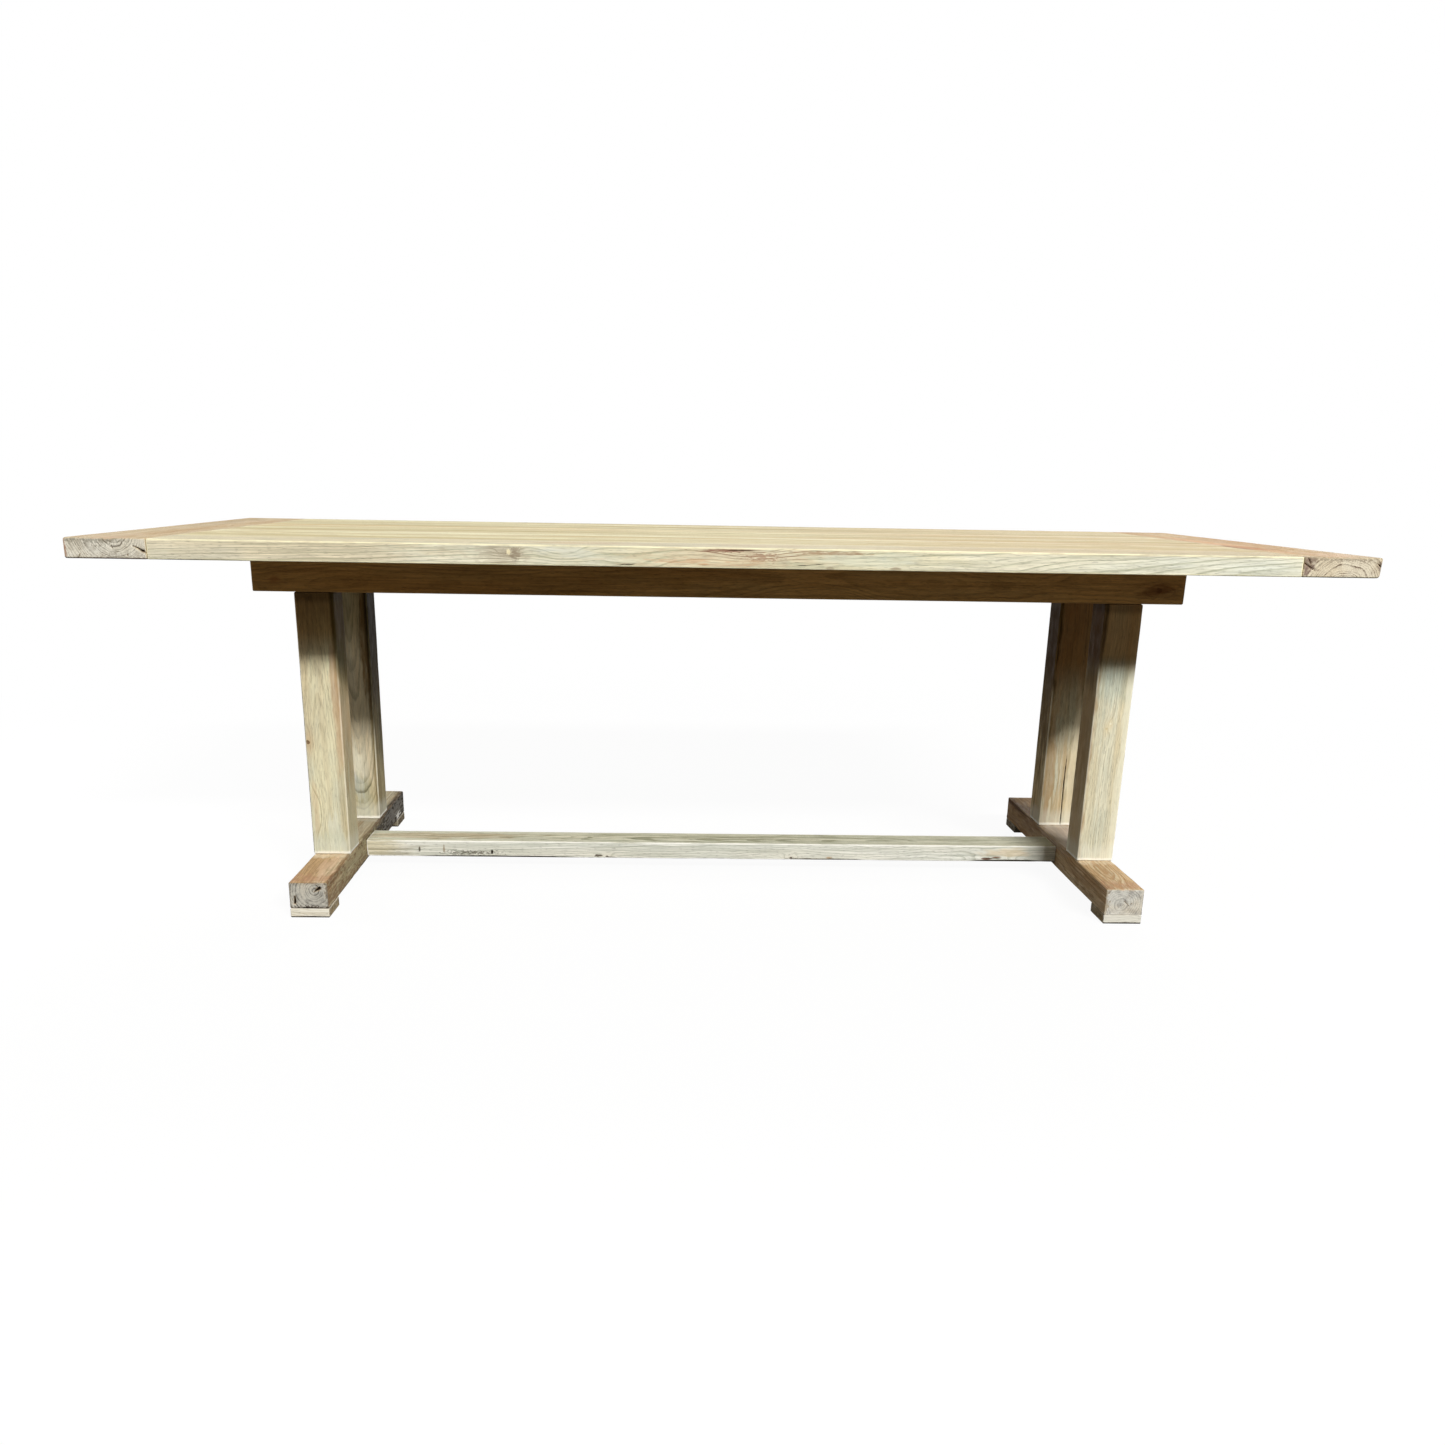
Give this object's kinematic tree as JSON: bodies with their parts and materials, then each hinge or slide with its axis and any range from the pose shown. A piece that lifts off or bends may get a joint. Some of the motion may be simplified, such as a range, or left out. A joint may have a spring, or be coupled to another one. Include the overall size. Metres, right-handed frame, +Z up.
{
  "type": "trestle dining table",
  "caption": "Rectangular solid wood dining table: a plank top with breadboard ends on an apron frame, two trestles with paired square posts on padded foot beams, and a low flat stretcher.",
  "frame": {"origin": "on the floor, under the middle of the top", "axes": "+X along the table to the right, +Y from the front edge to the rear edge, +Z up"},
  "size_m": [2.4, 1.05, 0.768],
  "materials": {
    "board_wood": "bleached, open grained, dry matt",
    "breadboard_wood": "tan, open grained, dry matt",
    "frame_wood": "brown, open grained, dry matt",
    "post_wood": "bleached with grey and tan streaks, dry matt",
    "foot_wood": "tan brown, weathered end grain, dry matt",
    "pad_wood": "cream, dry matt",
    "stretcher_wood": "pale grey cream, small knots, worn edges",
    "peg_wood": "plain turned or sawn hardwood",
    "zinc_steel": "zinc plated",
    "insert_brass": "plain"
  },
  "bodies": {
    "root": {"top_board_1": "board_wood", "top_board_2": "board_wood", "top_board_3": "board_wood", "top_board_4": "board_wood", "top_board_5": "board_wood", "top_board_6": "board_wood", "top_board_7": "board_wood", "breadboard_left": "breadboard_wood", "breadboard_right": "breadboard_wood", "breadboard_pegs": "peg_wood", "apron_rail_front": "frame_wood", "apron_rail_rear": "frame_wood", "apron_end_left": "frame_wood", "apron_end_right": "frame_wood", "centre_bearer": "frame_wood", "trestle_bearer_left": "frame_wood", "trestle_bearer_right": "frame_wood", "table_buttons": "peg_wood", "post_left_front": "post_wood", "post_left_rear": "post_wood", "post_right_front": "post_wood", "post_right_rear": "post_wood", "foot_beam_left": "foot_wood", "foot_beam_right": "foot_wood", "foot_pad_left_front": "pad_wood", "foot_pad_left_rear": "pad_wood", "foot_pad_right_front": "pad_wood", "foot_pad_right_rear": "pad_wood", "stretcher": "stretcher_wood", "frame_screws": "zinc_steel", "button_screws": "zinc_steel", "pad_screws": "zinc_steel", "foot_lag_screws": "zinc_steel", "foot_lag_washers": "zinc_steel", "bearer_bolts": "zinc_steel", "bearer_washers": "zinc_steel", "stretcher_bolts": "zinc_steel", "stretcher_washers": "zinc_steel", "stretcher_barrel_nuts": "zinc_steel", "bearer_inserts": "insert_brass", "bolt_plugs": "peg_wood"}
  },
  "joints": []
}
